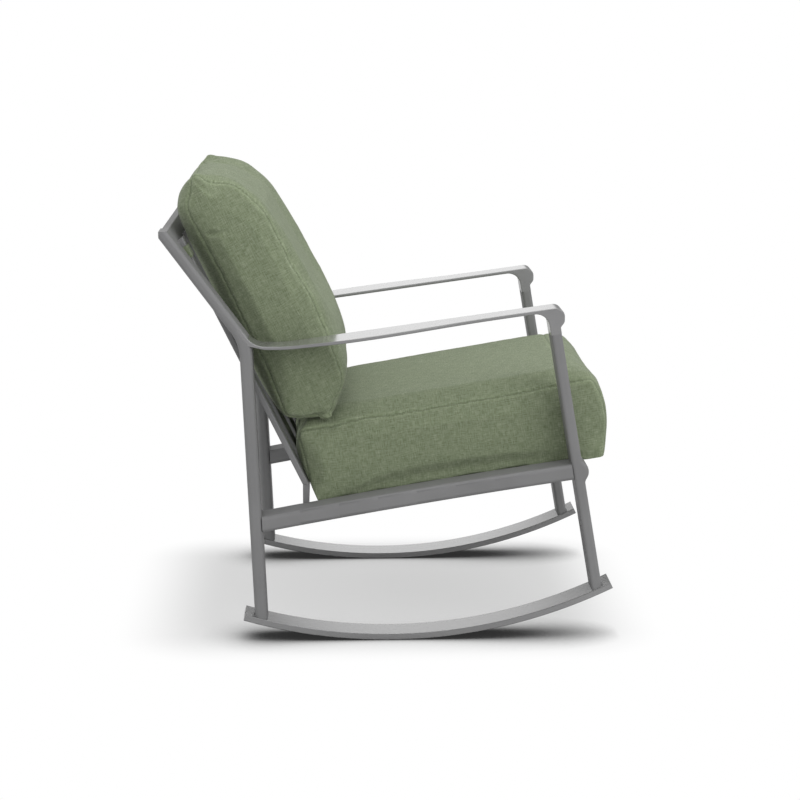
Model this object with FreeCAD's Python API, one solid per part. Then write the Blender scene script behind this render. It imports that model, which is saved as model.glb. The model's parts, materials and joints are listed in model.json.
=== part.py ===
"""Outdoor rocking chair: a welded aluminium frame on bent flat-bar rockers, with two loose cushions.

Frame: +Z up, the chair faces -Y, X runs across. The origin is on the floor under the lowest line of
the rockers. All sizes are in millimetres. The sitter's right side is at -X.
"""
import FreeCAD
import Part
import math
import os

V = FreeCAD.Vector

# Rockers: bent flat bars, measured on the walking face
TRACK_WIDTH = 722.0
ROCKER_RADIUS = 1011.0
ROCKER_THICKNESS = 12.0
ROCKER_WIDTH = 74.0
ROCKER_FRONT_REACH = 442.5
ROCKER_FRONT_TAIL = 31.5
ROCKER_REAR_TAIL = 37.0
ROCKER_EDGE = 1.5

# Width across of the oval bars of a side frame
MEMBER_WIDTH = 67.0

# Front legs, leaning back to the arms, with a boss where the seat rail is welded on
LEG_THICKNESS = 21.0
LEG_LEAN = 9.66
LEG_EDGE = 7.0
BOSS_HALF_LENGTH = 21.5
BOSS_APEX = 17.5
BOSS_RADIUS = 24.0
BOSS_BLEND = 12.0

# Back posts: rear leg and reclined stile in one bent bar
POST_LEG_THICKNESS = 24.6
POST_LEG_LEAN = 2.6
POST_BEND_Y = 279.0
POST_BEND_Z = 595.0
POST_BEND_RADIUS = 90.0
STILE_THICKNESS = 20.8
STILE_RECLINE = 36.5
STILE_TOP_Z = 812.0
STILE_REAR_CUT = 10.0
POST_EDGE = 9.0

# Seat rails, bowed upwards a little between post and leg
SEAT_SLOPE = 9.4
SEAT_RAIL_BOTTOM_Z = 258.8
SEAT_RAIL_HEIGHT = 31.6
SEAT_RAIL_BOW = 4.2
SEAT_RAIL_EDGE = 8.0
RAIL_RECESS = 1.0

# Arms: flat bars that dip into the posts and end in a rounded nose over the front legs
ARM_TOP_Z = 616.6
ARM_SLOPE = 7.86
ARM_THICKNESS = 6.5
ARM_DIP_Z = 588.7
ARM_DIP_RADIUS = 350.0
ARM_POST_RADIUS = 40.0
ARM_EDGE = 2.4
ARM_BOW = 30.0
ARM_BOW_Y = 75.0
ARM_BOW_TAPER = 0.45
ARM_NOSE_REACH = 24.5
ARM_NOSE_DEPTH = 30.0
ARM_NOSE_RADIUS = 17.0
ARM_NOSE_LOWER_RADIUS = 12.0
ARM_CHIN_DROP = 10.0
ARM_CHIN_RADIUS = 6.0
ARM_FLARE_RADIUS = 27.0
ARM_NECK_DROP = 52.0
ARM_POST_LAP = 1.0

# Back panel: top rail and upright flat slats
TOP_RAIL_HEIGHT = 40.0
TOP_RAIL_INSET = 0.8
TOP_RAIL_CORNER = 4.0
SLAT_RECLINE = 26.2
SLAT_DEPTH = 11.3
SLAT_WIDTH = 70.0
SIDE_BAR_WIDTH = 48.0
SIDE_BAR_POST_GAP = 4.5
SLAT_PITCH = 135.0
SLAT_EDGE = 2.5
SLAT_LAP = 10.0

# Cross rails and slats under the seat cushion
REAR_RAIL_BACK_Y = 170.5
REAR_RAIL_THICKNESS = 12.0
REAR_RAIL_TOP_Z = 300.0
REAR_RAIL_HEIGHT = 62.0
FRONT_RAIL_WIDTH = 40.0
FRONT_RAIL_HEIGHT = 20.0
FRONT_RAIL_LEG_GAP = 12.0
SEAT_SLAT_COUNT = 5
SEAT_SLAT_WIDTH = 50.0
SEAT_SLAT_THICKNESS = 8.0
CROSS_BAR_EDGE = 2.0

# Loose cushions, each a sewn cover round a filling, closed by a zip
CUSHION_SIDE_GAP = 6.0
CUSHION_SEAT_GAP = 0.6
CUSHION_REAR_GAP = 2.0
CUSHION_SIDE_PUFF = 7.0
CUSHION_SIDE_ROUND = 9.0
COVER_WALL = 3.0
FILLING_GAP = 0.6
ZIP_LENGTH = 300.0
ZIP_WIDTH = 24.0
ZIP_THICKNESS = 1.6

# Fullness of a cushion across the chair: share of its half width, then 1 in the middle and 0 at the side seam
CUSHION_FULLNESS = [(0.57, 1.0), (0.78, 0.9), (0.92, 0.68), (1.0, 0.0)]

# Seat cushion: thickness in the middle, less by the crown at the side seams
SEAT_CUSHION_SINK = 3.5
SEAT_CUSHION_THICKNESS = 176.0
SEAT_CUSHION_CROWN = 20.0
SEAT_CUSHION_OVERHANG = 20.0
SEAT_CUSHION_BULGE = 31.0
SEAT_CUSHION_BULGE_RADIUS = 150.0
SEAT_CUSHION_TOP_SETBACK = 3.0
SEAT_CUSHION_REAR_FOOT = 45.0
SEAT_CUSHION_REAR_LEAN = 11.0
SEAT_CUSHION_ROUND = 40.0
SEAT_CUSHION_CORNER = 16.0

# Back cushion: it rests on the slats and just above the seat cushion, and rises above the top rail
BACK_CUSHION_REST_GAP = 1.5
BACK_CUSHION_ABOVE_RAIL = 102.8
BACK_CUSHION_DEPTH = 192.0
BACK_CUSHION_FOOT_DEPTH = 125.0
BACK_CUSHION_FOOT_LIFT = 6.0
BACK_CUSHION_SIDE_FOOT_DEPTH = 99.0
BACK_CUSHION_SIDE_HEEL_DEPTH = 12.5
BACK_CUSHION_SIDE_HEEL_LIFT = 7.0
BACK_CUSHION_FOOT_CORNER = 30.0
BACK_CUSHION_SIDE_CORNER = 16.0

# Side view of the back cushion above its foot, from front to rear: shares of its height along the slats
# and of its depth in front of them, and corner radius; in the middle and at the side seams
BACK_CUSHION_MIDDLE = [(0.028, 0.893, 60.0), (0.288, 0.998, 250.0), (0.757, 0.927, 120.0),
                       (0.865, 0.773, 60.0), (0.954, 0.264, 45.0), (0.855, 0.0, 40.0)]
BACK_CUSHION_SIDE = [(0.011, 0.812, 45.0), (0.349, 0.943, 300.0), (0.707, 0.904, 150.0),
                     (0.848, 0.751, 70.0), (0.932, 0.355, 16.0), (0.843, 0.129, 40.0)]

# Fabric straps that tie the back cushion to the side bars
STRAP_WIDTH = 25.0
STRAP_THICKNESS = 1.6
STRAP_BAR_GAP = 0.8
STRAP_CUSHION_GAP = 0.6
STRAP_CORNER = 4.0
STRAP_BELOW_RAIL = 5.0

# Room that a bar runs on past its neighbour before it is trimmed to it
TRIM_ALLOWANCE = 40.0
FAR = 3000.0

# Places worked out from the sizes above
LEG_FOOT_Y = ROCKER_FRONT_TAIL - ROCKER_FRONT_REACH
POST_FLOOR_Y = POST_BEND_Y - POST_BEND_Z * math.tan(math.radians(POST_LEG_LEAN))
ROCKER_REAR_REACH = POST_FLOOR_Y + ROCKER_REAR_TAIL
STILE_LEAN = math.radians(STILE_RECLINE)
STILE_TOP_Y = POST_BEND_Y + (STILE_TOP_Z - POST_BEND_Z) * math.tan(STILE_LEAN)
STILE_BACK_Y = STILE_TOP_Y + STILE_THICKNESS / 2 / math.cos(STILE_LEAN) - STILE_REAR_CUT
SIDE_OUTER_X = TRACK_WIDTH / 2
SIDE_CENTRE_X = SIDE_OUTER_X - ROCKER_WIDTH / 2
MEMBER_INNER_X = SIDE_CENTRE_X - MEMBER_WIDTH / 2
ROCKER_CENTRE = V(0, 0, ROCKER_RADIUS)
ROCKER_TOP_RADIUS = ROCKER_RADIUS - ROCKER_THICKNESS
SEAT_COS = math.cos(math.radians(SEAT_SLOPE))
SEAT_FORWARD = V(0, -SEAT_COS, math.sin(math.radians(SEAT_SLOPE)))
SEAT_UP = V(0, math.sin(math.radians(SEAT_SLOPE)), SEAT_COS)
RAIL_WIDTH = MEMBER_WIDTH - 2 * RAIL_RECESS
RAIL_INNER_X = SIDE_CENTRE_X - RAIL_WIDTH / 2
SEAT_CUSHION_BOTTOM_Z = SEAT_RAIL_BOTTOM_Z + SEAT_RAIL_HEIGHT / SEAT_COS - SEAT_CUSHION_SINK
SLAT_TOP_Z = SEAT_CUSHION_BOTTOM_Z - CUSHION_SEAT_GAP / SEAT_COS
REAR_RAIL_FRONT_Y = REAR_RAIL_BACK_Y - REAR_RAIL_THICKNESS
SLAT_FOOT = V(0, REAR_RAIL_BACK_Y - REAR_RAIL_THICKNESS / 2, REAR_RAIL_TOP_Z)
SIDE_BAR_X = MEMBER_INNER_X - SIDE_BAR_POST_GAP - SIDE_BAR_WIDTH / 2
STRAP_REACH = SLAT_DEPTH / 2 + STRAP_BAR_GAP + STRAP_THICKNESS
CUSHION_REACH = STRAP_REACH + STRAP_CUSHION_GAP
CUSHION_HALF_WIDTH = MEMBER_INNER_X - CUSHION_SIDE_GAP
CUSHION_SEAM_X = CUSHION_HALF_WIDTH - CUSHION_SIDE_PUFF


def leaning(degrees):
    """Unit direction that rises and leans towards +Y by the given angle from the vertical."""
    angle = math.radians(degrees)
    return V(0, math.sin(angle), math.cos(angle))


def side_line(point, lean, offset):
    """Line (point, direction) parallel to a leaning axis, moved forward by offset square to it."""
    axis = leaning(lean)
    return point + forward_of((point, axis)) * offset, axis


def forward_of(line):
    """Unit direction square to a side-view line, towards the front of the chair."""
    axis = line[1]
    return V(0, -axis.z, axis.y)


def meet(line_a, line_b):
    """Point where two lines of a side view cross."""
    point_a, dir_a = line_a
    point_b, dir_b = line_b
    gap = point_b - point_a
    along = (gap.y * dir_b.z - gap.z * dir_b.y) / (dir_a.y * dir_b.z - dir_a.z * dir_b.y)
    return point_a + dir_a * along


def level(z):
    """Horizontal line of a side view at height z."""
    return V(0, 0, z), V(0, 1, 0)


def upright(y):
    """Vertical line of a side view at y."""
    return V(0, y, 0), V(0, 0, 1)


def seat_line(height):
    """Line parallel to the seat, crossing Y = 0 at the given height."""
    return V(0, 0, height), SEAT_FORWARD


def rounded_outline(corners):
    """Closed wire of a side view from (point, radius) corners, with a tangent arc at each radius."""
    count = len(corners)
    starts, middles, ends = [], [], []
    for index, (point, radius) in enumerate(corners):
        to_last = (corners[index - 1][0] - point).normalize()
        to_next = (corners[(index + 1) % count][0] - point).normalize()
        half = to_last.getAngle(to_next) / 2
        reach = radius / math.tan(half)
        inward = (to_last + to_next).normalize()
        starts.append(point + to_last * reach)
        ends.append(point + to_next * reach)
        middles.append(point + inward * (radius / math.sin(half) - radius))
    edges = []
    for index, (point, radius) in enumerate(corners):
        if radius > 0:
            edges.append(Part.Arc(starts[index], middles[index], ends[index]).toShape())
        next_start = starts[(index + 1) % count]
        if (next_start - ends[index]).Length > 1e-6:
            edges.append(Part.LineSegment(ends[index], next_start).toShape())
    return Part.Wire(edges)


def bar_across(wire, x_low, width, edge_radius):
    """Solid of a side-view outline carried across the chair, its side edges rounded."""
    solid = Part.Face(wire).extrude(V(width, 0, 0))
    solid.translate(V(x_low, 0, 0))
    side_edges = [edge for edge in solid.Edges if edge.BoundBox.XLength < 1e-4]
    return solid.makeFillet(edge_radius, side_edges)


def beyond(point, direction):
    """Large solid that fills the space past a plane through point, for trimming ends square."""
    return Part.makeCylinder(FAR, FAR, point, direction)


def inside_rocker_face():
    """Cylinder under whose surface the rockers lie: bars that stand on a rocker end at it."""
    return Part.makeCylinder(ROCKER_TOP_RADIUS, 2 * FAR, ROCKER_CENTRE - V(FAR, 0, 0), V(1, 0, 0))


def box_bar(length_x, centre, depth_dir, depth, height, edge_radius):
    """Straight bar across the chair: a box turned so that its depth runs along depth_dir."""
    box = Part.makeBox(length_x, depth, height, V(-length_x / 2, -depth / 2, -height / 2))
    turn = FreeCAD.Rotation(V(0, 1, 0), depth_dir)
    long_edges = [edge for edge in box.Edges if edge.BoundBox.XLength > length_x / 2]
    bar = box.makeFillet(edge_radius, long_edges)
    bar.Placement = FreeCAD.Placement(centre, turn)
    return bar


def rocker():
    """Flat bar bent to one radius, with square ends."""
    front = -math.asin(ROCKER_FRONT_REACH / ROCKER_RADIUS)
    rear = math.asin(ROCKER_REAR_REACH / ROCKER_RADIUS)

    def on_arc(radius, angle):
        return ROCKER_CENTRE + V(0, radius * math.sin(angle), -radius * math.cos(angle))

    def arc(radius, first, last):
        middle = on_arc(radius, (first + last) / 2)
        return Part.Arc(on_arc(radius, first), middle, on_arc(radius, last)).toShape()

    rear_end = Part.LineSegment(on_arc(ROCKER_RADIUS, rear), on_arc(ROCKER_TOP_RADIUS, rear)).toShape()
    front_end = Part.LineSegment(on_arc(ROCKER_TOP_RADIUS, front), on_arc(ROCKER_RADIUS, front)).toShape()
    walking_face = arc(ROCKER_RADIUS, front, rear)
    top_face = arc(ROCKER_TOP_RADIUS, rear, front)
    outline = Part.Wire([walking_face, rear_end, top_face, front_end])
    return bar_across(outline, -SIDE_OUTER_X, ROCKER_WIDTH, ROCKER_EDGE)


def leg_axis():
    """Centre line of a front leg: through its foot on the rocker, leaning back."""
    foot_z = ROCKER_RADIUS - math.sqrt(ROCKER_TOP_RADIUS ** 2 - LEG_FOOT_Y ** 2)
    return V(0, LEG_FOOT_Y, foot_z), leaning(LEG_LEAN)


def arm_top():
    """Straight top line of an arm in the side view, rising to the front."""
    slope = math.radians(ARM_SLOPE)
    return V(0, 0, ARM_TOP_Z), V(0, -math.cos(slope), math.sin(slope))


def arm_bottom():
    """Underside line of an arm, one thickness below its top line."""
    point, along = arm_top()
    down = V(0, -along.z, along.y)
    return point + down * ARM_THICKNESS, along


def leg_neck():
    """Point on the leg's centre line where the leg ends and the head of the arm begins."""
    top = meet(leg_axis(), arm_top())
    return top - leaning(LEG_LEAN) * ARM_NECK_DROP


def front_leg():
    """Oval leg from rocker to arm, with a rounded boss in front of the seat rail."""
    foot, axis = leg_axis()
    front_edge = side_line(foot, LEG_LEAN, LEG_THICKNESS / 2)
    rail_middle = seat_line(SEAT_RAIL_BOTTOM_Z + SEAT_RAIL_HEIGHT / SEAT_COS / 2)
    boss_centre = meet(front_edge, rail_middle)
    boss_tip = boss_centre + V(0, -axis.z, axis.y) * BOSS_APEX
    neck = leg_neck()
    head_end = neck + axis * TRIM_ALLOWANCE
    foot_end = foot - axis * TRIM_ALLOWANCE
    half = V(0, -axis.z, axis.y) * (LEG_THICKNESS / 2)
    outline = rounded_outline([
        (foot_end + half, 0), (boss_centre - axis * BOSS_HALF_LENGTH, BOSS_BLEND),
        (boss_tip, BOSS_RADIUS), (boss_centre + axis * BOSS_HALF_LENGTH, BOSS_BLEND),
        (head_end + half, 0), (head_end - half, 0), (foot_end - half, 0)])
    leg = bar_across(outline, -SIDE_CENTRE_X - MEMBER_WIDTH / 2, MEMBER_WIDTH, LEG_EDGE)
    return leg.common(inside_rocker_face()).cut(beyond(neck, axis))


def post_lines():
    """Edge lines of a post's side view: leg rear, leg front, stile rear, stile front."""
    bend = V(0, POST_BEND_Y, POST_BEND_Z)
    leg_rear = side_line(bend, POST_LEG_LEAN, -POST_LEG_THICKNESS / 2)
    leg_front = side_line(bend, POST_LEG_LEAN, POST_LEG_THICKNESS / 2)
    stile_rear = side_line(bend, STILE_RECLINE, -STILE_THICKNESS / 2)
    stile_front = side_line(bend, STILE_RECLINE, STILE_THICKNESS / 2)
    return leg_rear, leg_front, stile_rear, stile_front


def back_post():
    """Rear leg and stile in one oval bar, bent at the arm, its top cut level and its rear cut upright."""
    leg_rear, leg_front, stile_rear, stile_front = post_lines()
    stile_end = leaning(STILE_RECLINE) * TRIM_ALLOWANCE
    outline = rounded_outline([
        (meet(leg_rear, level(0)), 0), (meet(leg_rear, stile_rear), POST_BEND_RADIUS),
        (meet(stile_rear, level(STILE_TOP_Z)) + stile_end, 0),
        (meet(stile_front, level(STILE_TOP_Z)) + stile_end, 0),
        (meet(leg_front, stile_front), POST_BEND_RADIUS - POST_LEG_THICKNESS),
        (meet(leg_front, level(0)), 0)])
    post = bar_across(outline, -SIDE_CENTRE_X - MEMBER_WIDTH / 2, MEMBER_WIDTH, POST_EDGE)
    post = post.common(inside_rocker_face())
    post = post.cut(beyond(V(0, 0, STILE_TOP_Z), V(0, 0, 1)))
    return post.cut(beyond(V(0, STILE_BACK_Y, 0), V(0, 1, 0)))


def seat_rail():
    """Bowed oval rail between post and front leg, cut square to the flats that it is welded to."""
    leg_rear = side_line(leg_axis()[0], LEG_LEAN, -LEG_THICKNESS / 2)
    post_front = post_lines()[1]
    rear_end = meet(seat_line(SEAT_RAIL_BOTTOM_Z), post_front) - SEAT_FORWARD * TRIM_ALLOWANCE
    front_end = meet(seat_line(SEAT_RAIL_BOTTOM_Z), leg_rear) + SEAT_FORWARD * TRIM_ALLOWANCE
    up = SEAT_UP * SEAT_RAIL_HEIGHT
    crest = (rear_end + front_end) * 0.5 + SEAT_UP * SEAT_RAIL_BOW
    lower = Part.Arc(rear_end, crest, front_end).toShape()
    upper = Part.Arc(front_end + up, crest + up, rear_end + up).toShape()
    front = Part.LineSegment(front_end, front_end + up).toShape()
    rear = Part.LineSegment(rear_end + up, rear_end).toShape()
    outline = Part.Wire([lower, front, upper, rear])
    rail = bar_across(outline, -SIDE_CENTRE_X - RAIL_WIDTH / 2, RAIL_WIDTH, SEAT_RAIL_EDGE)
    rail = rail.cut(beyond(post_front[0], forward_of(post_front) * -1))
    return rail.cut(beyond(leg_rear[0], forward_of(leg_rear)))


def arm(post):
    """Flat arm bar: nose and flare over the leg, dip and fillet at the post, bowed out in plan."""
    axis = leaning(LEG_LEAN)
    top, bottom = arm_top(), arm_bottom()
    foot = leg_axis()[0]
    neck = leg_neck()
    leg_front = side_line(foot, LEG_LEAN, LEG_THICKNESS / 2)
    leg_rear = side_line(foot, LEG_LEAN, -LEG_THICKNESS / 2)
    head = meet(leg_axis(), top)
    nose_y = head.y - ARM_NOSE_REACH
    nose_top = meet(upright(nose_y), top)
    nose_bottom = nose_top - V(0, 0, ARM_NOSE_DEPTH)
    chin = meet(leg_front, level(nose_bottom.z - ARM_CHIN_DROP))
    neck_end = neck - axis * TRIM_ALLOWANCE
    half = V(0, -axis.z, axis.y) * (LEG_THICKNESS / 2)
    stile_front = post_lines()[3]
    stile_inside = (stile_front[0] + V(0, ARM_POST_LAP, 0), stile_front[1])
    post_corner = meet(level(ARM_DIP_Z), stile_inside)
    stile_reach = post_corner + stile_inside[1] * TRIM_ALLOWANCE
    behind = V(0, STILE_THICKNESS / 2, 0)
    under_z = ARM_DIP_Z - ARM_THICKNESS
    under_post = V(0, post_corner.y - ARM_POST_RADIUS / 2, under_z)
    outline = rounded_outline([
        (nose_top, ARM_NOSE_RADIUS), (nose_bottom, ARM_NOSE_LOWER_RADIUS), (chin, ARM_CHIN_RADIUS),
        (neck_end + half, 0), (neck_end - half, 0), (meet(leg_rear, bottom), ARM_FLARE_RADIUS),
        (meet(bottom, level(under_z)), ARM_DIP_RADIUS), (under_post, ARM_POST_RADIUS),
        (V(0, post_corner.y, ARM_DIP_Z) + behind, 0),
        (stile_reach + behind, 0), (stile_reach, 0), (post_corner, ARM_POST_RADIUS),
        (meet(top, level(ARM_DIP_Z)), ARM_DIP_RADIUS)])
    outer_x = -SIDE_CENTRE_X - MEMBER_WIDTH / 2
    blank = Part.Face(outline).extrude(V(MEMBER_WIDTH + ARM_BOW, 0, 0))
    blank.translate(V(outer_x - ARM_BOW, 0, 0))
    sides = arm_plan_sides(outer_x, nose_y, post_corner.y)
    plan = Part.Face(Part.Wire(sides)).extrude(V(0, 0, FAR))
    solid = blank.common(plan)
    walls = [edge.extrude(V(0, 0, FAR)) for edge in sides]
    rim = [edge for edge in solid.Edges
           if walls_touched(edge, walls) == 1
           and middle_of(edge).y < post_corner.y
           and (middle_of(edge) - neck_end).dot(axis) > ARM_EDGE]
    solid = solid.makeFillet(ARM_EDGE, rim)
    return solid.cut(beyond(neck, axis * -1)).cut(post)


def middle_of(edge):
    """Point half-way along an edge."""
    return edge.valueAt((edge.FirstParameter + edge.LastParameter) / 2)


def walls_touched(edge, walls):
    """Number of upright walls that an edge lies on, judged at its middle."""
    middle = Part.Vertex(middle_of(edge))
    return sum(middle.distToShape(wall)[0] < 1e-4 for wall in walls)


def arm_plan_sides(outer_x, nose_y, post_y):
    """Edges of an arm's plan view: straight inner side, outer side bowed outwards."""
    inner_x = outer_x + MEMBER_WIDTH
    rear_y = post_y + 2 * TRIM_ALLOWANCE
    front_y = nose_y - TRIM_ALLOWANCE
    bow_start = nose_y + 2 * TRIM_ALLOWANCE
    half_way = (ARM_BOW_Y + bow_start) / 2
    bow = Part.BSplineCurve()
    bow.interpolate([V(outer_x, post_y, 0), V(outer_x - ARM_BOW, ARM_BOW_Y, 0),
                     V(outer_x - ARM_BOW * ARM_BOW_TAPER, half_way, 0), V(outer_x, bow_start, 0)],
                    InitialTangent=V(0, -1, 0), FinalTangent=V(0, -1, 0))
    corners = [V(outer_x, bow_start, 0), V(outer_x, front_y, 0), V(inner_x, front_y, 0),
               V(inner_x, rear_y, 0), V(outer_x, rear_y, 0), V(outer_x, post_y, 0)]
    edges = [bow.toShape()]
    for first, second in zip(corners, corners[1:]):
        edges.append(Part.LineSegment(first, second).toShape())
    return edges


def top_rail(posts):
    """Rail across the top of the back, as deep as the stiles and coped to their rounded sides."""
    bend = V(0, POST_BEND_Y, POST_BEND_Z)
    depth = STILE_THICKNESS / 2 - TOP_RAIL_INSET
    front = side_line(bend, STILE_RECLINE, depth)
    rear = side_line(bend, STILE_RECLINE, -depth)
    top = level(STILE_TOP_Z - TOP_RAIL_INSET)
    back = upright(STILE_BACK_Y - TOP_RAIL_INSET)
    front_top = meet(front, top)
    front_bottom = top_rail_corner()
    underside = (front_bottom, V(0, front[1].z, -front[1].y))
    outline = rounded_outline([
        (front_top, TOP_RAIL_CORNER), (meet(back, top), TOP_RAIL_CORNER),
        (meet(rear, back), TOP_RAIL_CORNER), (meet(rear, underside), TOP_RAIL_CORNER),
        (front_bottom, TOP_RAIL_CORNER)])
    half_length = MEMBER_INNER_X + POST_EDGE
    rail = Part.Face(outline).extrude(V(2 * half_length, 0, 0))
    rail.translate(V(-half_length, 0, 0))
    for post in posts:
        rail = rail.cut(post)
    return rail


def top_rail_corner():
    """Lower front corner of the top rail in the side view."""
    bend = V(0, POST_BEND_Y, POST_BEND_Z)
    front = side_line(bend, STILE_RECLINE, STILE_THICKNESS / 2 - TOP_RAIL_INSET)
    return meet(front, level(STILE_TOP_Z - TOP_RAIL_INSET)) - front[1] * TOP_RAIL_HEIGHT


def back_slat(centre_x, width, rail):
    """Flat upright bar from the rear seat rail to the top rail, lapped on the rail's lower front edge."""
    axis = leaning(SLAT_RECLINE)
    front = side_line(SLAT_FOOT, SLAT_RECLINE, SLAT_DEPTH / 2)
    rear = side_line(SLAT_FOOT, SLAT_RECLINE, -SLAT_DEPTH / 2)
    lap_end = top_rail_corner() + leaning(STILE_RECLINE) * SLAT_LAP
    head = meet((lap_end, V(0, 1, 0)), front) + axis * TRIM_ALLOWANCE
    foot = SLAT_FOOT - axis * TRIM_ALLOWANCE
    half = V(0, -axis.z, axis.y) * (SLAT_DEPTH / 2)
    depth_line = (head, half)
    outline = rounded_outline([(foot + half, 0), (meet(front, depth_line), 0),
                               (meet(rear, depth_line), 0), (foot - half, 0)])
    slat = bar_across(outline, centre_x - width / 2, width, SLAT_EDGE)
    slat = slat.cut(beyond(V(0, 0, REAR_RAIL_TOP_Z), V(0, 0, -1)))
    return slat.cut(beyond(lap_end, leaning(STILE_RECLINE))).cut(rail)


def rear_seat_rail():
    """Flat bar on edge across the back of the seat, carrying the feet of the back slats."""
    centre = V(0, SLAT_FOOT.y, REAR_RAIL_TOP_Z - REAR_RAIL_HEIGHT / 2)
    length = 2 * RAIL_INNER_X
    return box_bar(length, centre, V(0, 1, 0), REAR_RAIL_THICKNESS, REAR_RAIL_HEIGHT, CROSS_BAR_EDGE)


def front_rail_edges():
    """Distances along the seat, from Y = 0, of the front rail's front and rear edges."""
    leg_rear = side_line(leg_axis()[0], LEG_LEAN, -LEG_THICKNESS / 2)
    front = -meet(seat_line(SLAT_TOP_Z), leg_rear).y / SEAT_COS - FRONT_RAIL_LEG_GAP
    return front, front - FRONT_RAIL_WIDTH


def seat_bar(along, width, thickness):
    """Bar across the seat whose top lies in the plane of the seat slats, centred at a distance along it."""
    centre = V(0, 0, SLAT_TOP_Z) + SEAT_FORWARD * along - SEAT_UP * (thickness / 2)
    return box_bar(2 * RAIL_INNER_X, centre, SEAT_FORWARD * -1, width, thickness, CROSS_BAR_EDGE)


def seat_slat_places():
    """Distances along the seat of the slat centres, with equal gaps between the two cross rails."""
    rear = -REAR_RAIL_FRONT_Y / SEAT_COS
    front = front_rail_edges()[1]
    gap = (front - rear - SEAT_SLAT_COUNT * SEAT_SLAT_WIDTH) / (SEAT_SLAT_COUNT + 1)
    pitch = gap + SEAT_SLAT_WIDTH
    return [front - gap - SEAT_SLAT_WIDTH / 2 - pitch * index for index in range(SEAT_SLAT_COUNT)]


def mixed(side, middle, fullness):
    """Corners between those of a cushion's side seam and those of its middle."""
    corners = []
    for (side_point, side_radius), (middle_point, middle_radius) in zip(side, middle):
        point = side_point + (middle_point - side_point) * fullness
        corners.append((point, side_radius + (middle_radius - side_radius) * fullness))
    return corners


def shrunk(corners, inset):
    """The same corners with every side of the outline moved inwards by inset."""
    count = len(corners)
    lines = []
    for index, (point, radius) in enumerate(corners):
        along = (corners[(index + 1) % count][0] - point).normalize()
        lines.append((point + V(0, -along.z, along.y) * inset, along))
    return [(meet(lines[index - 1], lines[index]), radius - inset)
            for index, (point, radius) in enumerate(corners)]


def cushion_form(side, middle, inset):
    """Crowned cushion form, ruled between outlines from one puffed side panel to the other."""
    seam_x = CUSHION_SEAM_X - inset
    halves = [(share * seam_x, shrunk(mixed(side, middle, fullness), inset))
              for share, fullness in CUSHION_FULLNESS]
    halves.append((CUSHION_HALF_WIDTH - inset, shrunk(side, inset + CUSHION_SIDE_ROUND)))
    sections = [(-x, corners) for x, corners in reversed(halves)] + halves
    wires = []
    for x, corners in sections:
        wires.append(rounded_outline([(point + V(x, 0, 0), radius) for point, radius in corners]))
    return Part.makeLoft(wires, True, True)


def zip_between(first, second):
    """Zip strip that lies flush in a flat of the cover, half-way between two corners, and the pocket cut for it."""
    along = (second - first).normalize()
    inward = V(0, -along.z, along.y)
    face = (first + second) * 0.5
    edge = ZIP_THICKNESS / 4
    strip = box_bar(ZIP_LENGTH, face + inward * (ZIP_THICKNESS / 2), inward, ZIP_THICKNESS, ZIP_WIDTH, edge)
    pocket = box_bar(ZIP_LENGTH, face, inward, 2 * ZIP_THICKNESS, ZIP_WIDTH, edge)
    return strip, pocket


def cushion_pieces(side, middle, zip_pocket):
    """Cover and filling of one cushion. The zip lies flush in the cover."""
    outer = cushion_form(side, middle, 0)
    hollow = cushion_form(side, middle, COVER_WALL)
    filling = cushion_form(side, middle, COVER_WALL + FILLING_GAP)
    return outer.cut(hollow).cut(zip_pocket), filling


def seat_corners(thickness, corner, round_radius):
    """Corners of the seat cushion's side view, from the rear edge of its underside to the front."""
    bottom = seat_line(SEAT_CUSHION_BOTTOM_Z)
    rear_line = (V(0, REAR_RAIL_FRONT_Y - CUSHION_REAR_GAP, REAR_RAIL_TOP_Z), SEAT_UP)
    rear = meet(bottom, rear_line)
    front = meet(bottom, upright(LEG_FOOT_Y - SEAT_CUSHION_OVERHANG))
    front_middle = front + SEAT_UP * (thickness / 2) + SEAT_FORWARD * SEAT_CUSHION_BULGE
    front_top = front + SEAT_UP * thickness + SEAT_FORWARD * SEAT_CUSHION_TOP_SETBACK
    rear_top = rear + SEAT_UP * thickness - SEAT_FORWARD * SEAT_CUSHION_REAR_LEAN
    rear_foot = rear + SEAT_UP * SEAT_CUSHION_REAR_FOOT
    return [(rear, corner), (rear_foot, SEAT_CUSHION_REAR_FOOT), (rear_top, round_radius),
            (front_top, round_radius), (front_middle, SEAT_CUSHION_BULGE_RADIUS), (front, corner)]


def back_cushion_base():
    """Rear lower corner of the back cushion, where the plane of the slats meets the seat cushion's top."""
    rear = side_line(SLAT_FOOT, SLAT_RECLINE, CUSHION_REACH)
    lift = (SEAT_CUSHION_THICKNESS + BACK_CUSHION_REST_GAP) / SEAT_COS
    return meet(rear, seat_line(SEAT_CUSHION_BOTTOM_Z + lift))


def back_corners(heel, foot, foot_corner, upper):
    """Corners of the back cushion's side view: rear of its foot, upper corners from rear to front, foot."""
    base = back_cushion_base()
    axis = leaning(SLAT_RECLINE)
    forward = V(0, -axis.z, axis.y)
    height = (STILE_TOP_Z + BACK_CUSHION_ABOVE_RAIL - base.z) / axis.z
    corners = [(base + axis * (height * up) + forward * (BACK_CUSHION_DEPTH * depth), radius)
               for up, depth, radius in reversed(upper)]
    return [(heel, foot_corner)] + corners + [(foot, foot_corner)]


def back_middle_corners():
    """Side view of the back cushion in its middle."""
    base = back_cushion_base()
    foot = base + SEAT_FORWARD * BACK_CUSHION_FOOT_DEPTH + SEAT_UP * BACK_CUSHION_FOOT_LIFT
    return back_corners(base, foot, BACK_CUSHION_FOOT_CORNER, BACK_CUSHION_MIDDLE)


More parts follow.
